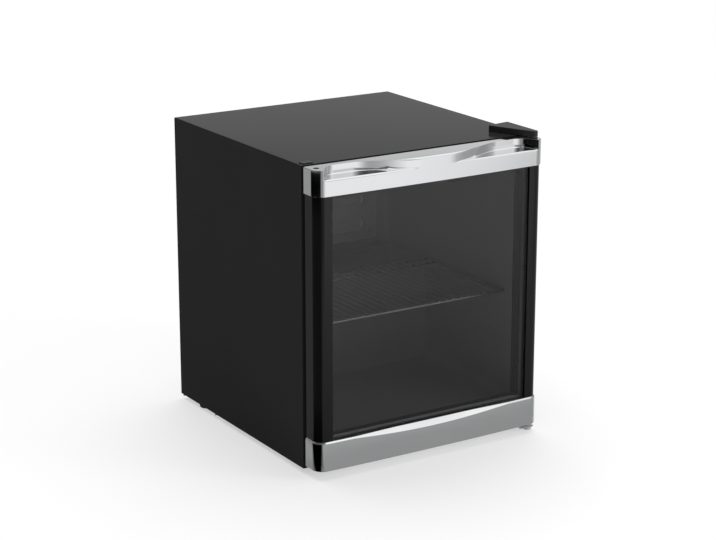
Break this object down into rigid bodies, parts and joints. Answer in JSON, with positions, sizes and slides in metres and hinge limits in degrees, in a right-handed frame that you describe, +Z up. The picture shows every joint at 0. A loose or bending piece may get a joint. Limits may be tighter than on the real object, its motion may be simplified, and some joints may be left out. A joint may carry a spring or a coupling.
{
  "type": "beverage refrigerator",
  "caption": "Compact black drinks cooler with a smoked glass door, bowed chrome trims with finger pockets, a slatted shelf, and a compressor with wire condenser at the back.",
  "frame": {"origin": "on the floor under the middle of the object's bounding box, with the door shut", "axes": "+Z up, -Y out of the glass door, +X to the right of someone facing the door, on the hinge side"},
  "size_m": [0.43, 0.489, 0.5115],
  "materials": {
    "black_steel": "satin black paint",
    "black_plastic": "moulded, satin",
    "black_gloss": "moulded, glossy black",
    "liner_plastic": "vacuum-formed, satin dark grey",
    "foam": "rigid insulating foam",
    "zinc": "zinc plated",
    "chrome": "bright plated",
    "aluminium": "mill finish",
    "copper": "drawn copper pipe",
    "compressor_black": "semi-gloss enamel",
    "condenser_black": "baked black paint",
    "smoked_glass": "polished, smoked",
    "seal": "soft black rubber",
    "grey_plastic": "moulded light grey",
    "shelf_wire": "plated wire"
  },
  "bodies": {
    "cabinet": {"outer_wrap": "black_steel", "back_panel": "black_steel", "base_panel": "black_steel", "foam": "foam", "liner": "liner_plastic", "evaporator_plate": "aluminium", "drip_tray": "black_plastic", "thermostat_housing": "black_plastic", "compressor_plate": "zinc", "compressor": "compressor_black", "compressor_base": "compressor_black", "grommet_1": "seal", "grommet_2": "seal", "grommet_3": "seal", "grommet_4": "seal", "relay_cover": "black_plastic", "evaporation_tray": "black_plastic", "drain_spout": "black_plastic", "suction_pipe": "copper", "discharge_pipe": "copper", "filter_drier": "copper", "capillary_pipe": "copper", "condenser_coil": "condenser_black", "condenser_wires": "condenser_black", "condenser_clip_1": "black_plastic", "condenser_clip_2": "black_plastic", "condenser_clip_3": "black_plastic", "condenser_clip_4": "black_plastic", "cord_bracket": "zinc", "cord_gland": "seal", "rear_foot_left": "seal", "rear_foot_right": "seal", "upper_hinge_plate": "zinc", "upper_hinge_pin": "zinc", "hinge_cover": "black_plastic", "lower_hinge_plate": "zinc", "lower_hinge_pin": "zinc", "corner_plug": "black_plastic"},
    "door": {"handle_trim": "chrome", "bottom_trim": "chrome", "left_stile": "black_gloss", "right_stile": "black_gloss", "inner_frame": "black_plastic", "outer_glass": "smoked_glass", "inner_glass": "smoked_glass", "glass_spacer": "aluminium", "door_gasket": "seal", "upper_hinge_bush": "grey_plastic", "lower_hinge_bush": "grey_plastic"},
    "shelf": {"shelf": "shelf_wire"},
    "thermostat_knob": {"thermostat_knob": "grey_plastic"},
    "levelling_foot_left": {"levelling_foot_left": "grey_plastic"},
    "levelling_foot_right": {"levelling_foot_right": "grey_plastic"}
  },
  "joints": [
    {"name": "door_hinge", "type": "hinge", "parent": "cabinet", "child": "door", "pos_m": [0.2075, -0.2145, 0.0085], "axis": [0, 0, 1], "range_deg": [0, 120]},
    {"name": "shelf_slide", "type": "slide", "parent": "cabinet", "child": "shelf", "axis": [0, -1, 0], "range_m": [0, 0.018]},
    {"name": "thermostat_turn", "type": "hinge", "parent": "cabinet", "child": "thermostat_knob", "pos_m": [0.1637, -0.0055, 0.4225], "axis": [-1, 0, 0], "range_deg": [0, 270]},
    {"name": "left_foot_screw", "type": "slide", "parent": "cabinet", "child": "levelling_foot_left", "axis": [0, 0, -1], "range_m": [0, 0.005]},
    {"name": "right_foot_screw", "type": "slide", "parent": "cabinet", "child": "levelling_foot_right", "axis": [0, 0, -1], "range_m": [0, 0.005]}
  ]
}
